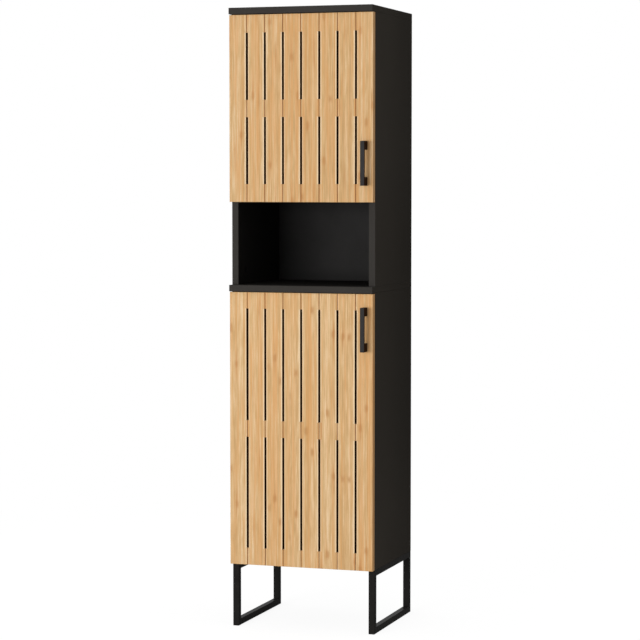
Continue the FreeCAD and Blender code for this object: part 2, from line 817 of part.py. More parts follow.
def hinge_cup(name, height):
    """A cup with two ears, held in the door, and two cheeks inside it for the pin's ends."""
    x = left + cup_x
    floor = door_rear - cup_depth
    shell = rod(name + "_shell", "Y", (x, floor, height), cup_radius, cup_depth)
    ears = block(
        name + "_ears",
        (x - cup_ear_width / 2, door_rear, height - cup_radius - cup_ear),
        (cup_ear_width, cup_ear_thickness, 2 * (cup_radius + cup_ear)),
    )
    outer = joined(name + "_outer", [shell, ears])
    inside = cup_depth - cup_wall + cup_ear_thickness
    hollow = rod(name + "_hollow", "Y", (x, floor + cup_wall, height), cup_radius - cup_wall, inside)
    bowl = without(name + "_bowl", outer, [hollow])
    cheek_blank = block(
        name + "_cheek_blank",
        (pivot_x - cheek_half, floor, height - cup_radius),
        (2 * cheek_half, pivot_y + cheek_half - floor, 2 * cup_radius),
    )
    core = rod(name + "_core", "Y", (x, floor, height), cup_radius, cup_depth)
    cheeks = doc.addObject("Part::Common", name + "_cheeks")
    cheeks.Base = cheek_blank
    cheeks.Tool = core
    arm_room = block(
        name + "_arm_room",
        (pivot_x - cheek_half, floor + cup_wall, height - arm_width / 2 - cheek_play),
        (2 * cheek_half, cup_depth, arm_width + 2 * cheek_play),
    )
    filled = joined(name + "_filled", [bowl, without(name + "_cheek_pair", cheeks, [arm_room])])
    pin_start = (pivot_x, pivot_y, height - hinge_pin_length / 2)
    bore_radius = hinge_pin_radius + fit_play
    tools = [rod(name + "_pin_bore", "Z", pin_start, bore_radius, hinge_pin_length)]
    for number, sign in ((1, -1), (2, 1)):
        z = height + sign * (cup_radius + cup_ear / 2)
        start = (x, door_rear, z)
        tools.append(
            rod(f"{name}_ear_bore_{number}", "Y", start, cup_screw_radius + fit_play, cup_ear_thickness)
        )
    return without(name, filled, tools)


def cup_screw_parts(name, height):
    parts = []
    for number, sign in ((1, -1), (2, 1)):
        z = height + sign * (cup_radius + cup_ear / 2)
        x = left + cup_x
        shank_start = (x, door_rear - cup_screw_grip, z)
        length = cup_screw_grip + cup_ear_thickness
        parts.append(rod(f"{name}_screw_{number}", "Y", shank_start, cup_screw_radius, length))
        head_start = (x, door_rear + cup_ear_thickness, z)
        parts.append(rod(f"{name}_head_{number}", "Y", head_start, cup_head_radius, cup_head_height))
    return parts


def hinge_arm(name, height):
    """The bent arm: from the plate forward into the cup, then across to its knuckle."""
    low = height - arm_width / 2
    half = arm_thickness / 2
    knuckle = rod(name + "_knuckle", "Z", (pivot_x, pivot_y, low), knuckle_radius, arm_width)
    across_lengths = (arm_reach + arm_thickness, arm_thickness, arm_width)
    across = block(name + "_across", (pivot_x, pivot_y - half, low), across_lengths)
    along_lengths = (arm_thickness, carcass_front + arm_length - (pivot_y - half), arm_width)
    along = block(name + "_along", (pivot_x + arm_reach, pivot_y - half, low), along_lengths)
    bent = joined(name + "_bent", [knuckle, across, along])
    bore = rod(name + "_bore", "Z", (pivot_x, pivot_y, low), hinge_pin_radius + fit_play, arm_width)
    return without(name, bent, [bore])


def hinge_plate(name, height, bores):
    corner = (inner_left, plate_y - plate_length / 2, height - plate_height / 2)
    blank = block(name + "_blank", corner, (plate_thickness, plate_length, plate_height))
    return without(name, blank, bores)


def hinges(level):
    heights = hinge_heights[level]
    cups = []
    arms = []
    plates = []
    hinge_pins = []
    cup_screws = []
    for number, height in enumerate(heights, start=1):
        name = f"{level}_hinge_{number}"
        cups.append(hinge_cup(name + "_cup", height))
        cup_screws += cup_screw_parts(name, height)
        arms.append(hinge_arm(name + "_arm", height))
        bores = plate_bores[level][2 * number - 2:2 * number]
        plates.append(hinge_plate(name + "_plate", height, bores))
        pin_start = (pivot_x, pivot_y, height - hinge_pin_length / 2)
        hinge_pins.append(rod(name + "_pin", "Z", pin_start, hinge_pin_radius, hinge_pin_length))
    keep(f"{level}_hinge_cups", joined(f"{level}_hinge_cups", cups))
    keep(f"{level}_hinge_pins", joined(f"{level}_hinge_pins", hinge_pins))
    keep(f"{level}_cup_screws", joined(f"{level}_cup_screws", cup_screws))
    keep(f"{level}_hinge_arms", joined(f"{level}_hinge_arms", arms))
    keep(f"{level}_hinge_plates", joined(f"{level}_hinge_plates", plates))
    keep(f"{level}_plate_screws", joined(f"{level}_plate_screws", plate_screws[level]))


def bumpers(level):
    thickness = door_gap - bumper_play
    low = door_low[level] + bumper_inset
    high = door_low[level] + door_height[level] - bumper_inset
    pads = [
        rod(f"{level}_bumper_{number}", "Y", (side_x["right"], door_rear, z), bumper_radius, thickness)
        for number, z in ((1, low), (2, high))
    ]
    return keep(f"{level}_bumpers", joined(f"{level}_bumpers", pads))


for level in ("upper", "lower"):
    for number in range(1, SLATS + 1):
        slat(level, number)
    handle(level)
    handle_screws(level)
    hinges(level)
    bumpers(level)

# Checks and files

doc.recompute()
for thing in doc.Objects:
    if "Invalid" in thing.State or "Error" in thing.State:
        raise ValueError(f"{thing.Name} did not build: {thing.State}")
for thing in nodes:
    if thing.Shape.isNull() or not thing.Shape.isValid():
        raise ValueError(f"{thing.Label} has no valid shape")

os.makedirs("parts", exist_ok=True)
for thing in nodes:
    thing.Shape.exportStep(f"parts/{thing.Label}.step")
    print(f"{thing.Label:24s} solids {len(thing.Shape.Solids):2d} volume {thing.Shape.Volume:12.1f}")
print(f"{len(nodes)} sub-parts")
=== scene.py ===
import json
import math

import bmesh
import bpy
from mathutils import Matrix, Vector

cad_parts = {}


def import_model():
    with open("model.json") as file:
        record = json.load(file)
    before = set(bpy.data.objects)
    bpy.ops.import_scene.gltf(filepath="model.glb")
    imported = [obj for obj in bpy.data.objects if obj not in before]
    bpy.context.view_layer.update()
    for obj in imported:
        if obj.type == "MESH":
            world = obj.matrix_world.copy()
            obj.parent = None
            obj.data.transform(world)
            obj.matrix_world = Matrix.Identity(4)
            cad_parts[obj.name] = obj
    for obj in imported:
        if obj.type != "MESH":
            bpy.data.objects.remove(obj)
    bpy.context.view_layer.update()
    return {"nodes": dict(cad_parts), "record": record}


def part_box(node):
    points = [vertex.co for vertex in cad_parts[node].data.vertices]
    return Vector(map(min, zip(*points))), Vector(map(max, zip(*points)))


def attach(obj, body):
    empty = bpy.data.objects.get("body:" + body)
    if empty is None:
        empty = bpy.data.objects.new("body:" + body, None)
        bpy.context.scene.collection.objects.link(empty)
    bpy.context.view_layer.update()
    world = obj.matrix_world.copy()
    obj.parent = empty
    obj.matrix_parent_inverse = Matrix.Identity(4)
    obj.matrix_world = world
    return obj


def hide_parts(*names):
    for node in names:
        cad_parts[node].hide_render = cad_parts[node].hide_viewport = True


# Tall bathroom cabinet with slatted bamboo doors, a black carcass and black sled legs.
# Everything is in metres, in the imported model's frame: X right, Y back, Z up.

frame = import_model()

# The slots between the doors' slats, as they are milled in the CAD model.
SLOT_WIDTH = 0.004
SLOT_ROWS = ((0.19, 0.45175), (0.49075, 0.7525), (1.042, 1.197), (1.237, 1.392))

# Only the doors' ends and the carcass's flanks lie further out to the sides than this.
OUTER_ZONE = 0.17

NICHE_LOW = 0.8
NICHE_HIGH = 1.002
NICHE_MIDDLE = 0.9
NICHE_HALF_WIDTH = 0.161
NICHE_FRONT = -0.127

# Bamboo: the strips glued up into a slat, and the canes whose nodes show in them.
STRIP_WIDTH = 0.0056
CANE_WIDTH = 0.0147
NODE_SPACING = 0.33
UPPER_DOOR_SEED = 31.0
STRIP_SEED = 57.0
CANE_SEED = 23.0
# Painted shade: the dark lip at the door's first slot is this much wider.
FIRST_SLOT_SHADE_EXTRA = 0.0004
RIM_WIDTH = 0.0009

BAMBOO_TONES = (
    (0.15, (0.565, 0.34, 0.15)),
    (0.4, (0.635, 0.408, 0.198)),
    (0.6, (0.695, 0.474, 0.25)),
    (0.85, (0.78, 0.57, 0.345)),
)
WARM_BAMBOO = (0.665, 0.34, 0.125)
VESSEL_BROWN = (0.5, 0.29, 0.12)
NODE_BROWN = (0.52, 0.25, 0.09)
TRAIL_BROWN = (0.57, 0.25, 0.09)
# Painted highlight beside the slots.
SLOT_EDGE_HIGHLIGHT = (0.94, 0.77, 0.52)
# Painted shade at the slots' lips.
SLOT_LIP_SHADE = (0.13, 0.03, 0.004)
GLUE_BROWN = (0.34, 0.125, 0.036)
RIM_BROWN = (0.55, 0.26, 0.08)
# Painted shade on the slats' eased edges that face sideways.
RIGHT_EDGE_SHADE = (0.1, 0.034, 0.01)
LEFT_EDGE_SHADE = (0.16, 0.06, 0.018)
# Painted shade on the walls of the slots and joints.
SLOT_WALL_SHADE = (0.006, 0.003, 0.0015)
END_DARK = (0.4, 0.23, 0.11)
END_LIGHT = (0.66, 0.44, 0.25)

# Studio and camera. Within the near radius the floor takes the cabinet's shadow, and beyond
# the far one it is plain white.
FLOOR_RADIUS = 9
FLOOR_NEAR = 0.8
FLOOR_FAR = 2.0
FLOOR_GLOW = 0.91
FLOOR_GREY = 0.85
FLOOR_CATCH = 0.22
SKY_STRENGTH = 0.41
LAMP_PLACE = (-2.1, -6.9, 0.95)
LAMP_TARGET = (0, 0, 0.75)
LAMP_POWER = 300
SENSOR_WIDTH = 36
PICTURE_WIDTH = 640
FOCAL_LENGTH_IN_PIXELS = 2276.5
CAMERA_PLACE = (1.712, -5.119, 1.051)
CAMERA_DIP = 3.513
CAMERA_TURN = 18.504


# Shader maths -----------------------------------------------------------------------------

class Field:
    """A value that varies over a surface. Sums and products of it add Math nodes."""

    def __init__(self, shading, socket):
        self.shading = shading
        self.socket = socket

    def math(self, operation, *others):
        inputs = dict(enumerate((self,) + others))
        return self.shading.node("Math", {"operation": operation}, inputs)

    def __add__(self, other):
        return self.math("ADD", other)

    def __radd__(self, other):
        return self.math("ADD", other)

    def __sub__(self, other):
        return self.math("SUBTRACT", other)

    def __rsub__(self, other):
        return self.shading.node("Math", {"operation": "SUBTRACT"}, {0: other, 1: self})

    def __mul__(self, other):
        return self.math("MULTIPLY", other)

    def __rmul__(self, other):
        return self.math("MULTIPLY", other)

    def __truediv__(self, other):
        return self.math("DIVIDE", other)

    def __gt__(self, other):
        return self.math("GREATER_THAN", other)

    def __lt__(self, other):
        return self.math("LESS_THAN", other)

    def __neg__(self):
        return 0.0 - self

    def __abs__(self):
        return self.math("ABSOLUTE")

    def floor(self):
        return self.math("FLOOR")

    def fraction(self):
        return self.math("FRACT")

    def at_least(self, other):
        return self.math("MAXIMUM", other)

    def rise(self, low, high):
        """0 below low, 1 above high and a smooth climb between."""
        settings = {"interpolation_type": "SMOOTHSTEP"}
        inputs = {"Value": self, "From Min": low, "From Max": high}
        return self.shading.node("MapRange", settings, inputs)


class Shading:
    """A node tree that is written as expressions."""

    def __init__(self, tree):
        self.tree = tree
        self.tree.nodes.clear()

    def node(self, kind, settings=None, inputs=None, output=0):
        """Add a node with its settings, then the values or links of its sockets.

        It gives back the named output, or nothing where the output is None.
        """
        node = self.tree.nodes.new("ShaderNode" + kind)
        for name, value in (settings or {}).items():
            if name == "stops":
                self.set_stops(node.color_ramp, value)
            else:
                setattr(node, name, value)
        for name, value in (inputs or {}).items():
            self.feed(node.inputs[name], value)
        return None if output is None else Field(self, node.outputs[output])

    def feed(self, socket, value):
        if isinstance(value, Field):
            self.tree.links.new(value.socket, socket)
        else:
            socket.default_value = value

    def set_stops(self, ramp, stops):
        while len(ramp.elements) < len(stops):
            ramp.elements.new(0.5)
        for element, (position, colour) in zip(ramp.elements, stops):
            element.position = position
            element.color = (*colour, 1)

    def seen_directly(self):
        """1 for rays from the camera and those mirrored or let through on the way, else 0."""
        kinds = ("Is Camera Ray", "Is Glossy Ray", "Is Transmission Ray")
        straight, mirrored, through = (self.node("LightPath", output=kind) for kind in kinds)
        return straight.at_least(mirrored).at_least(through)

    def show(self, shader, owner="Material"):
        self.node("Output" + owner, None, {"Surface": shader}, output=None)


class Finish(Shading):
    """A material, with its place on the object and the patterns that it is made of."""

    def __init__(self, name):
        self.material = bpy.data.materials.new(name)
        self.material.use_nodes = True
        super().__init__(self.material.node_tree)
        self.place = self.node("TexCoord", output="Object")
        self.x, self.y, self.z = self.parts(self.place)

    def parts(self, vector):
        """A vector's three components."""
        separated = self.node("SeparateXYZ", None, {0: vector}).socket.node
        return [Field(self, socket) for socket in separated.outputs]

    def normal(self):
        """The surface's direction, along the object's own axes."""
        return self.parts(self.node("TexCoord", output="Normal"))

    def vector(self, x, y, z):
        return self.node("CombineXYZ", None, {0: x, 1: y, 2: z})

    def noise(self, vector, scale, detail=2.0, roughness=0.5):
        inputs = {"Vector": vector, "Scale": scale, "Detail": detail, "Roughness": roughness}
        return self.node("TexNoise", None, inputs)

    def fibres(self, squeeze, shift, scale, detail=2.0, roughness=0.5):
        """Noise drawn out along the slats, the more the smaller the squeeze."""
        along = self.vector(self.x, self.y, self.z * squeeze + shift)
        return self.noise(along, scale, detail, roughness)

    def random(self, seed):
        return self.node("TexWhiteNoise", {"noise_dimensions": "1D"}, {"W": seed})

    def ramp(self, factor, stops):
        return self.node("ValToRGB", {"stops": stops}, {0: factor})

    def shades(self, factor, dark, light, low=0.3, high=0.7):
        """A colour between two shades."""
        return self.ramp(factor, ((low, dark), (high, light)))

    def mixed(self, factor, first, second, blend="MIX"):
        """Two colours mixed, on the colour sockets of a Mix node: inputs 6 and 7, output 2."""
        first, second = (
            value if isinstance(value, Field) else (*value, 1) for value in (first, second)
        )
        settings = {"data_type": "RGBA", "blend_type": blend}
        return self.node("Mix", settings, {0: factor, 6: first, 7: second}, output=2)

    def scaled(self, colour, factor):
        """A colour made lighter or darker by a factor."""
        return self.node("VectorMath", {"operation": "SCALE"}, {0: colour, "Scale": factor})

    def bump(self, height, distance):
        return self.node("Bump", None, {"Height": height, "Distance": distance})

    def surface(self, **inputs):
        """Finish the material as one surface, with socket names written with underscores."""
        names = {name.replace("_", " "): value for name, value in inputs.items()}
        self.show(self.node("BsdfPrincipled", None, names))
        return self.material


def around(level, *patterns):
    """A level that patterns from 0 to 1 move up and down, each by its own reach."""
    for pattern, reach in patterns:
        level = level + (pattern - 0.5) * reach
    return level


def grey(level):
    return (level, level, level, 1)


# Finishes ---------------------------------------------------------------------------------

class BambooGrain:
    """The tones of slats and strips, and the patterns that run along them."""

    def __init__(self, finish, slat):
        self.slat = slat
        self.slat_tone = finish.random(slat + 0.5)
        self.slat_hue = finish.random(slat + 0.8)
        strip_place = (finish.x + self.slat_tone * 0.02) / STRIP_WIDTH
        strip = strip_place.floor() + slat * STRIP_SEED
        self.strip_tone = finish.random(strip + 0.25)
        self.strip_hue = finish.random(strip + 0.45)
        self.streak = finish.fibres(0.005, self.slat_hue * 3.0, 360.0, 2.5, 0.65)
        self.blush = finish.fibres(0.022, self.slat_tone * 7.0, 260.0, 2.5, 0.65)
        self.fine = finish.fibres(0.035, self.slat_tone * 3.0, 420.0, 3.0, 0.6)
        self.hair = finish.fibres(0.012, self.strip_hue, 1900.0, 3.0, 0.65)
        self.vessel = finish.fibres(0.06, self.strip_tone, 2600.0, 1.0).rise(0.6, 0.72)
        self.patch = finish.fibres(0.14, self.slat_hue * 5.0, 130.0)


def grained(finish, grain, upper):
    """Bare bamboo, with paler and browner streaks, warmer patches and fine dark vessels."""
    tone = around(
        0.5,
        (grain.streak, 1.15),
        (grain.fine, 1.2),
        (grain.hair, 1.1),
        (grain.patch, 0.95),
        (grain.strip_tone, 0.25),
        (grain.slat_tone, 0.05),
    )
    hue = grain.strip_hue * 0.45 + grain.slat_hue * 0.3 + upper * 0.05
    warmth = around(hue, (grain.blush, 3.2), (grain.patch, 0.8))
    wood = finish.ramp(tone, BAMBOO_TONES)
    wood = finish.mixed(warmth.rise(0.0, 1.1) * 0.75, wood, WARM_BAMBOO)
    wood = finish.mixed(grain.vessel * 0.4, wood, VESSEL_BROWN)
    # Painted light: the lower door is coloured a little lighter than the upper one, to lift the
    # dimmer light that falls on it.
    return finish.scaled(wood, 1.065 - upper * 0.055)


def with_nodes(finish, wood, grain):
    """Add the canes' small brown nodes, and give back the wood and a mask of the nodes."""
    cane_place = (finish.x + grain.slat_hue * 0.03) / CANE_WIDTH
    cane = cane_place.floor() + grain.slat * CANE_SEED
    cane_shift = finish.random(cane + 0.15)
    strength = finish.random(cane + 0.65).rise(0.1, 0.6)
    node_place = finish.z / NODE_SPACING + cane_shift
    from_node = abs(node_place.fraction() - 0.5) * NODE_SPACING
    from_middle = around(abs(cane_place.fraction() - 0.5), (grain.fine, 0.5))
    node = 1.0 - around(from_node, (grain.patch, 0.012)).rise(0.002, 0.014)
    node = node * (1.0 - from_middle.rise(0.05, 0.5)) * strength
    trail = (1.0 - from_node.rise(0.01, 0.05)) * (1.0 - from_middle.rise(0.03, 0.16))
    wood = finish.mixed(node * 0.66, wood, NODE_BROWN)
    return finish.mixed(trail * grain.strip_hue * 0.6, wood, TRAIL_BROWN), node


def with_joints_and_painted_slot_light(finish, wood, slat_place, pitch):
    """Colour the glue lines and right rim, with painted highlights in pale bands beside the slots
    and painted shade on their dark lips and walls and on the eased edges.
    """
    across, outward, _ = finish.normal()
    inside_door = abs(finish.x) < OUTER_ZONE
    in_row = sum((finish.z > low) * (finish.z < high) for low, high in SLOT_ROWS) * inside_door
    from_joint = (slat_place + 0.5).fraction() * pitch - pitch / 2
    from_slot = abs(from_joint) - SLOT_WIDTH / 2
    front = (-outward).rise(0.55, 0.95)
    front_and_back = front + outward.rise(0.55, 0.95) * 0.4

    # Painted highlight: a pale band on the front beside each slot in the slot rows, stronger on
    # the slot's left side.
    slot_edge_highlight = from_slot.rise(0.0005, 0.0011) * (1.0 - from_slot.rise(0.0028, 0.0042)) * in_row
    left_of_slot = from_joint < 0.0
    first_slot = slat_place < 0.5
    # Painted shade: a dark lip at each slot's edges in the slot rows, front and back, wider at
    # the first slot.
    slot_lip_shade = 1.0 - (from_slot - first_slot * FIRST_SLOT_SHADE_EXTRA).rise(0.0002, 0.0008)
    glue_line = 1.0 - abs(from_joint + 0.0005).rise(0.0008, 0.0016)
    right_rim = finish.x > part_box("upper_door_slat_8")[1][0] - RIM_WIDTH
    # Only the slats' eased edges face partly sideways. This is above 0 on those at the right.
    turned_right = across * abs(outward)
    # Painted shade: the walls of the slots and joints are coloured near black.
    slot_wall_shade = abs(across).rise(0.85, 0.97)
    for mask, colour in (
        (slot_edge_highlight * front * (0.35 + left_of_slot * 0.35), SLOT_EDGE_HIGHLIGHT),
        (slot_lip_shade * in_row * front_and_back * 0.95, SLOT_LIP_SHADE),
        (glue_line * (1.0 - in_row) * inside_door * front_and_back * 0.9, GLUE_BROWN),
        (right_rim * 0.6, RIM_BROWN),
        # Painted shade on eased edges facing right, and in the slot rows on those facing left.
        (turned_right.rise(0.2, 0.4) * inside_door * 0.95, RIGHT_EDGE_SHADE),
        ((-turned_right).rise(0.2, 0.4) * in_row * 0.9, LEFT_EDGE_SHADE),
        (slot_wall_shade * inside_door, SLOT_WALL_SHADE),
    ):
        wood = finish.mixed(mask, wood, colour)
    return wood


def with_end_grain(finish, wood):
    """Add the open pores of the sawn upper and lower ends."""
    upward = finish.normal()[2]
    pores = finish.noise(finish.vector(finish.x, finish.y, finish.z * 0.1), 1500.0)
    return finish.mixed(
        abs(upward).rise(0.8, 0.95) * 0.6, wood, finish.shades(pores, END_DARK, END_LIGHT)
    )


def bamboo_finish():
    """Laminated bamboo under satin lacquer: narrow strips, long fine grain and soft nodes."""
    finish = Finish("satin_bamboo")
    first_joint, second_joint = (corner[0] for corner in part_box("upper_door_slat_2"))
    pitch = second_joint - first_joint
    slat_place = (finish.x - first_joint) / pitch
    upper = finish.z > NICHE_MIDDLE
    grain = BambooGrain(finish, slat_place.floor() + upper * UPPER_DOOR_SEED)
    wood, node = with_nodes(finish, grained(finish, grain, upper), grain)
    wood = with_joints_and_painted_slot_light(finish, wood, slat_place, pitch)
    relief = grain.fine * 0.5 + grain.hair * 0.5 - grain.vessel * 0.4 - node * 0.3
    return finish.surface(
        Base_Color=with_end_grain(finish, wood),
        Roughness=around(0.45, (grain.fine, 0.2)),
        Specular_IOR_Level=0.012,
        Normal=finish.bump(relief, 0.00012),
    )


def board_finish():
    """Matt black melamine on particle board, with a faint pore, matching edge banding and painted
    shade on the side panels and in the niche.
    """
    finish = Finish("black_melamine")
    across, _, upward = finish.normal()
    pore = finish.noise(finish.place, 1400.0, 3.0, 0.6)
    cloud = finish.noise(finish.place, 9.0)
    tone = around(0.5, (pore, 0.9), (cloud, 0.5))
    colour = finish.shades(tone, (0.039, 0.0355, 0.032), (0.051, 0.0475, 0.0435), 0.25, 0.75)

    # Painted shade on the side panels: a warmer tint, a little lighter at the front, darker
    # towards the rear and at middle height.
    rear_shade = finish.y.rise(-0.16, 0.2)
    middle = finish.z.rise(0.2, 0.5) * (1.0 - finish.z.rise(0.85, 1.15))
    side_shade = (abs(finish.x) > OUTER_ZONE) * abs(across).rise(0.7, 0.95)
    colour = finish.mixed(side_shade, colour, (1.0, 0.94, 0.84), blend="MULTIPLY")
    colour = finish.scaled(colour, 1.0 + side_shade * (0.04 - rear_shade * 0.4 - middle * 0.13))

    between_boards = (finish.z > NICHE_LOW) * (finish.z < NICHE_HIGH)
    between_sides = (abs(finish.x) < NICHE_HALF_WIDTH) * (finish.y > NICHE_FRONT)
    floor_shade = upward.rise(0.5, 0.9) * 0.5
    left_shade = across.rise(0.5, 0.9) * 0.6
    ceiling_light = (-upward).rise(0.5, 0.9) * 0.5
    shade = floor_shade + left_shade - ceiling_light
    return finish.surface(
        Base_Color=finish.scaled(colour, 1.0 - between_boards * between_sides * shade),
        Roughness=around(0.55, (pore, 0.25), (cloud, 0.1)),
        Specular_IOR_Level=0.002,
        Normal=finish.bump(pore, 0.00004),
    )


def hardboard_finish():
    """Thin black painted hardboard, smoother and a little uneven."""
    finish = Finish("black_hardboard")
    fibre = finish.noise(finish.place, 700.0, 4.0, 0.65)
    cloud = finish.noise(finish.place, 14.0)
    tone = 0.5 * fibre + 0.5 * cloud
    return finish.surface(
        Base_Color=finish.shades(tone, (0.0265, 0.0255, 0.025), (0.0365, 0.035, 0.0345)),
        Roughness=around(0.6, (fibre, 0.3)),
        Specular_IOR_Level=0.004,
        Normal=finish.bump(fibre, 0.00005),
    )


def powder_coat_finish(name, dark, light, roughness, specular, sheen, side_shade=(1, 1, 1)):
    """Powder coat on metal: fine orange peel, a trace of unevenness, a sheen on level tops and a
    tinted painted shade on faces turned sideways.
    """
    finish = Finish(name)
    across, _, upward = finish.normal()
    peel = finish.noise(finish.place, 2600.0)
    cloud = finish.noise(finish.place, 30.0, 3.0)
    colour = finish.shades(0.35 * peel + 0.65 * cloud, dark, light)
    return finish.surface(
        # Painted shade: faces turned sideways are multiplied by a darker tint.
        Base_Color=finish.mixed(across.rise(0.6, 0.9), colour, side_shade, blend="MULTIPLY"),
        Roughness=around(roughness, (peel, 0.15), (cloud, 0.08)),
        Specular_IOR_Level=specular,
        Coat_Weight=upward.rise(0.6, 0.95) * sheen,
        Coat_Roughness=0.3,
        Normal=finish.bump(peel, 0.00003),
    )


def steel_finish(name, dark, light, roughness, stretch):
    """Plated steel with faint drawing lines."""
    finish = Finish(name)
    drawn = finish.vector(finish.x * stretch, finish.y * 0.2, finish.z)
    lines = finish.noise(drawn, 2500.0)
    cloud = finish.noise(finish.place, 160.0)
    return finish.surface(
        Base_Color=finish.shades(0.6 * lines + 0.4 * cloud, dark, light),
        Metallic=1.0,
        Roughness=around(roughness, (lines, 0.16), (cloud, 0.1)),
        Normal=finish.bump(lines, 0.00001),
    )


def beech_finish():
    """Bare beech of the dowels, with a short fine grain."""
    finish = Finish("plain_beech")
    grain = finish.noise(finish.place, 800.0, 3.0)
    return finish.surface(
        Base_Color=finish.shades(grain, (0.42, 0.26, 0.14), (0.58, 0.4, 0.24)),
        Roughness=0.65,
        Normal=finish.bump(grain, 0.00005),
    )


def bumper_finish():
    """Soft milky plastic of the door bumpers."""
    finish = Finish("soft_bumper")
    haze = finish.noise(finish.place, 900.0)
    return finish.surface(
        Base_Color=finish.shades(haze, (0.5, 0.5, 0.48), (0.66, 0.66, 0.63)),
        Roughness=0.3 + haze * 0.2,
        Normal=finish.bump(haze, 0.00002),
    )


# One finish for each material slot of the record.
FINISHES = {
    "bamboo": bamboo_finish(),
    "black_board": board_finish(),
    "back_board": hardboard_finish(),
    "black_frame": powder_coat_finish(
        "black_powder_coat",
        dark=(0.0145, 0.0136, 0.0128),
        light=(0.0215, 0.0205, 0.0195),
        roughness=0.5,
        specular=0.004,
        sheen=0.18,
    ),
    "black_handle": powder_coat_finish(
        "satin_black_coat",
        dark=(0.036, 0.034, 0.034),
        light=(0.046, 0.044, 0.044),
        roughness=0.42,
        specular=0.006,
        sheen=0.1,
        # Painted shade: the handle's sideways faces are darker and warmer.
        side_shade=(0.7, 0.3, 0.12),
    ),
    "black_cam": powder_coat_finish(
        "blackened_zinc",
        dark=(0.006, 0.006, 0.006),
        light=(0.012, 0.012, 0.012),
        roughness=0.6,
        specular=0.004,
        sheen=0.0,
    ),
    "hinge_steel": steel_finish(
        "nickel_plate",
        dark=(0.5, 0.49, 0.47),
        light=(0.68, 0.67, 0.64),
        roughness=0.32,
        stretch=1.0,
    ),
    "fastener_steel": steel_finish(
        "zinc_plate",
        dark=(0.44, 0.45, 0.46),
        light=(0.62, 0.63, 0.64),
        roughness=0.38,
        stretch=0.4,
    ),
    "beech": beech_finish(),
    "bumper": bumper_finish(),
}


def paint(piece, slot):
    """Give a new piece the finish of a material slot."""
    piece.data.materials.clear()
    piece.data.materials.append(FINISHES[slot])


def paint_cad_nodes():
    """Give every CAD node the finish of the material slot that the record names for it."""
    slots = {part["node"]: part["material_slot"] for part in frame["record"]["subparts"]}
    for name, piece in frame["nodes"].items():
        for material_slot in piece.material_slots:
            material_slot.material = FINISHES[slots[name]]


# Fastener modelling -----------------------------------------------------------------------

# The cross recess, as shares of the head's radius, and what its blades narrow to.
BLADE_LENGTH = 1.1
BLADE_WIDTH = 0.26
BLADE_TAPER = 0.55

# A screw's softened rim and its recess, as shares of the head's height.
RIM_SOFTENING = 0.45
RECESS_DEPTH = 0.6

POINT_TAPER = 0.35
HEAD_SIDES = 32
SHANK_SIDES = 16
LEVEL_NORMAL = 0.9
SMOOTH_ANGLE = 35

# A level cam below this height is in the bottom board, and one above it in the niche's ceiling.
BOTTOM_BOARD_ZONE = 0.5


def deselect():
    bpy.ops.object.select_all(action="DESELECT")


def select_only(*chosen):
    """Select these pieces and nothing else. The first is the one that is worked on."""
    deselect()
    for piece in chosen:
        piece.select_set(True)
    bpy.context.view_layer.objects.active = chosen[0]


def edit_faces(piece, chosen):
    """Open a piece for editing with only the faces selected that the test picks."""
    select_only(piece)
    bpy.ops.object.mode_set(mode="EDIT")
    bpy.ops.mesh.select_mode(type="FACE")
    shape = bmesh.from_edit_mesh(piece.data)
    for face in shape.faces:
        face.select_set(chosen(face))
    bmesh.update_edit_mesh(piece.data)


def round_bar(radius, depth, top, vertices):
    """An upright cylinder whose top is at the given height."""
    deselect()
    bpy.ops.mesh.primitive_cylinder_add(
        vertices=vertices, radius=radius, depth=depth, location=(0, 0, top - depth / 2)
    )
    piece = bpy.context.object
    bpy.ops.object.transform_apply(location=True, rotation=False, scale=False)
    return piece


def carve(piece, cutter):
    """Cut one piece out of another, and remove the cutter."""
    select_only(piece)
    modifier = piece.modifiers.new("recess", "BOOLEAN")
    modifier.operation = "DIFFERENCE"
    modifier.solver = "EXACT"
    modifier.object = cutter
    bpy.ops.object.modifier_apply(modifier=modifier.name)
    bpy.data.objects.remove(cutter, do_unlink=True)


def faces_up(face):
    return face.normal.z > LEVEL_NORMAL


def faces_down(face):
    return face.normal.z < -LEVEL_NORMAL


def recess_blade(length, width, depth, turn):
    """One blade of a cross recess, narrowing towards its floor."""
    deselect()
    bpy.ops.mesh.primitive_cube_add(size=1, location=(0, 0, 0))
    blade = bpy.context.object
    blade.scale = (length, width, 2 * depth)
    blade.rotation_euler = (0, 0, turn)
    bpy.ops.object.transform_apply(location=False, rotation=True, scale=True)
    edit_faces(blade, faces_down)
    bpy.ops.transform.resize(value=(BLADE_TAPER, BLADE_TAPER, 1))
    bpy.ops.object.mode_set(mode="OBJECT")
    return blade


def cross_headed(radius, height, soften, recess):
    """A round head with a softened rim and a cross recess. Its top is at height 0."""
    head = round_bar(radius, height, top=0, vertices=HEAD_SIDES)
    edit_faces(head, faces_up)
    bpy.ops.mesh.bevel(offset=soften, segments=3, affect="EDGES")
    bpy.ops.object.mode_set(mode="OBJECT")
    for turn in (0, math.pi / 2):
        carve(head, recess_blade(radius * BLADE_LENGTH, radius * BLADE_WIDTH, recess, turn))
    return head


def screw_shape(radius, height, shank_radius, length):
    """A screw that hangs down from its head, with a short point."""
    head = cross_headed(radius, height, height * RIM_SOFTENING, height * RECESS_DEPTH)
    shank = round_bar(shank_radius, length - height, top=-height, vertices=SHANK_SIDES)
    edit_faces(shank, faces_down)
    bpy.ops.transform.translate(value=(0, 0, shank_radius))
    bpy.ops.mesh.extrude_region_move(TRANSFORM_OT_translate={"value": (0, 0, -shank_radius)})
    bpy.ops.transform.resize(value=(POINT_TAPER, POINT_TAPER, 1))
    bpy.ops.object.mode_set(mode="OBJECT")
    select_only(head, shank)
    bpy.ops.object.join()
    return head


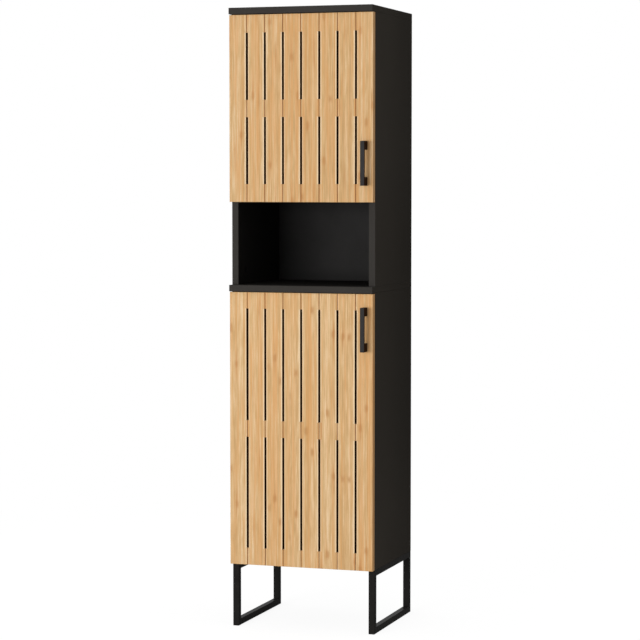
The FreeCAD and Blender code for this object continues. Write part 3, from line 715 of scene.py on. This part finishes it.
def solids_of(node):
    """The lowest and highest corners of each separate solid in a CAD node."""
    shape = bmesh.new()
    shape.from_mesh(frame["nodes"][node].data)
    bmesh.ops.remove_doubles(shape, verts=shape.verts, dist=1e-6)
    waiting = set(shape.verts)
    boxes = []
    while waiting:
        solid = [waiting.pop()]
        for vertex in solid:
            for link in vertex.link_edges:
                other = link.other_vert(vertex)
                if other in waiting:
                    waiting.remove(other)
                    solid.append(other)
        boxes.append(
            [[pick(v.co[axis] for v in solid) for axis in range(3)] for pick in (min, max)]
        )
    shape.free()
    return sorted(boxes)


# How a fastener that is modelled with its head up is turned to face each way.
TURNS = {
    "+X": Matrix.Rotation(math.radians(90), 4, "Y"),
    "-X": Matrix.Rotation(math.radians(-90), 4, "Y"),
    "+Y": Matrix.Rotation(math.radians(-90), 4, "X"),
    "+Z": Matrix.Identity(4),
    "-Z": Matrix.Rotation(math.radians(180), 4, "X"),
}


def head_place(box, facing):
    """The middle of a solid's outer end, on the side that it faces."""
    low, high = (Vector(corner) for corner in box)
    place = (low + high) / 2
    axis = "XYZ".index(facing[1])
    place[axis] = high[axis] if facing[0] == "+" else low[axis]
    return place


def set_in(name, pattern, places):
    """One piece made of copies of a pattern, each turned and set in its place."""
    copies = []
    for place, facing in places:
        copy = pattern.copy()
        copy.data = pattern.data.copy()
        bpy.context.collection.objects.link(copy)
        copy.data.transform(Matrix.Translation(place) @ TURNS[facing])
        copies.append(copy)
    select_only(*copies)
    bpy.ops.object.join()
    piece = bpy.context.object
    piece.name = name
    bpy.data.objects.remove(pattern, do_unlink=True)
    select_only(piece)
    bpy.ops.object.shade_smooth_by_angle(angle=math.radians(SMOOTH_ANGLE))
    return piece


def dress(piece, node, slot, body):
    """Finish a piece that stands for a CAD node and moves with a body."""
    paint(piece, slot)
    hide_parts(node)
    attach(piece, body)


def screws(node, facing, body, head_height, shank_radius):
    """Detailed screws in place of a CAD node's plain ones, as wide and as long as they are."""
    boxes = solids_of(node)
    low, high = boxes[0]
    axis = "XYZ".index(facing[1])
    side = (axis + 1) % 3
    head_radius = (high[side] - low[side]) / 2
    pattern = screw_shape(head_radius, head_height, shank_radius, high[axis] - low[axis])
    places = [(head_place(box, facing), facing) for box in boxes]
    dress(set_in(node + "_detailed", pattern, places), node, "fastener_steel", body)


def cam_facing(box):
    """The side on which a cam's face shows: into the cabinet, or up or down in a board."""
    low, high = box
    if high[2] - low[2] > high[0] - low[0]:
        return "+X" if high[0] < 0 else "-X"
    return "-Z" if high[2] < BOTTOM_BOARD_ZONE else "+Z"


def cam_discs():
    """Cams with a cross recess in place of the CAD model's plain discs."""
    boxes = solids_of("cams")
    low, high = boxes[0]
    radius = (high[1] - low[1]) / 2
    pattern = cross_headed(radius, height=0.012, soften=0.0006, recess=0.002)
    places = [(head_place(box, cam_facing(box)), cam_facing(box)) for box in boxes]
    dress(set_in("cams_detailed", pattern, places), "cams", "black_cam", "carcass")


# Stage, light and camera ------------------------------------------------------------------

def floor():
    """A pale floor that looks white and still keeps the cabinet's soft shadow near its foot."""
    deselect()
    bpy.ops.mesh.primitive_circle_add(
        vertices=96, radius=FLOOR_RADIUS, fill_type="NGON", location=(0, 0, 0)
    )
    ground = bpy.context.object
    ground.name = "pale_floor"
    finish = Finish("pale_floor")
    reach = (finish.x * finish.x + finish.y * finish.y).math("SQRT")
    plain = finish.node("BsdfDiffuse", None, {"Color": grey(FLOOR_GREY)})
    catch = finish.node("BsdfDiffuse", None, {"Color": grey(FLOOR_CATCH)})
    glow = finish.node("Emission", None, {"Color": grey(1), "Strength": FLOOR_GLOW})
    white = finish.node("Emission", None, {"Color": grey(1), "Strength": 1.0})
    near = finish.node("AddShader", None, {0: glow, 1: catch})
    far = reach.rise(FLOOR_NEAR, FLOOR_FAR)
    seen = finish.node("MixShader", None, {0: far, 1: near, 2: white})
    finish.show(finish.node("MixShader", None, {0: finish.seen_directly(), 1: plain, 2: seen}))
    ground.data.materials.append(finish.material)


def world():
    """Even soft light from all round, white where it is seen directly."""
    sky = bpy.data.worlds.new("pale_studio")
    sky.use_nodes = True
    shading = Shading(sky.node_tree)
    levels = {"Value": shading.seen_directly(), "To Min": SKY_STRENGTH, "To Max": 1.0}
    strength = shading.node("MapRange", None, levels)
    shading.show(
        shading.node("Background", None, {"Color": grey(1), "Strength": strength}), "World"
    )
    bpy.context.scene.world = sky


def softbox(name, place, target, width, height, power):
    """A broad rectangular lamp that is aimed at a point."""
    light = bpy.data.lights.new(name, "AREA")
    light.shape = "RECTANGLE"
    light.size = width
    light.size_y = height
    light.energy = power
    lamp = bpy.data.objects.new(name, light)
    lamp.location = place
    lamp.rotation_euler = (Vector(target) - Vector(place)).to_track_quat("-Z", "Y").to_euler()
    bpy.context.collection.objects.link(lamp)


def camera():
    """The photograph's viewpoint, from the front and to the right."""
    lens = bpy.data.cameras.new("view")
    lens.sensor_fit = "HORIZONTAL"
    lens.sensor_width = SENSOR_WIDTH
    lens.lens = SENSOR_WIDTH * FOCAL_LENGTH_IN_PIXELS / PICTURE_WIDTH
    eye = bpy.data.objects.new("view", lens)
    eye.location = CAMERA_PLACE
    eye.rotation_euler = (math.radians(90 - CAMERA_DIP), 0, math.radians(CAMERA_TURN))
    bpy.context.collection.objects.link(eye)
    bpy.context.scene.camera = eye


paint_cad_nodes()
cam_discs()
screws("leg_frame_screws", "-Z", "carcass", head_height=0.003, shank_radius=0.0025)
for level in ("upper", "lower"):
    door = level + "_door"
    screws(level + "_plate_screws", "+X", "carcass", head_height=0.0016, shank_radius=0.002)
    screws(level + "_cup_screws", "+Y", door, head_height=0.0006, shank_radius=0.0017)
    screws(level + "_handle_screws", "+Y", door, head_height=0.0028, shank_radius=0.002)
floor()
world()
softbox("key_softbox", LAMP_PLACE, LAMP_TARGET, width=4.0, height=1.7, power=LAMP_POWER)
camera()
bpy.context.scene.view_settings.view_transform = "Standard"
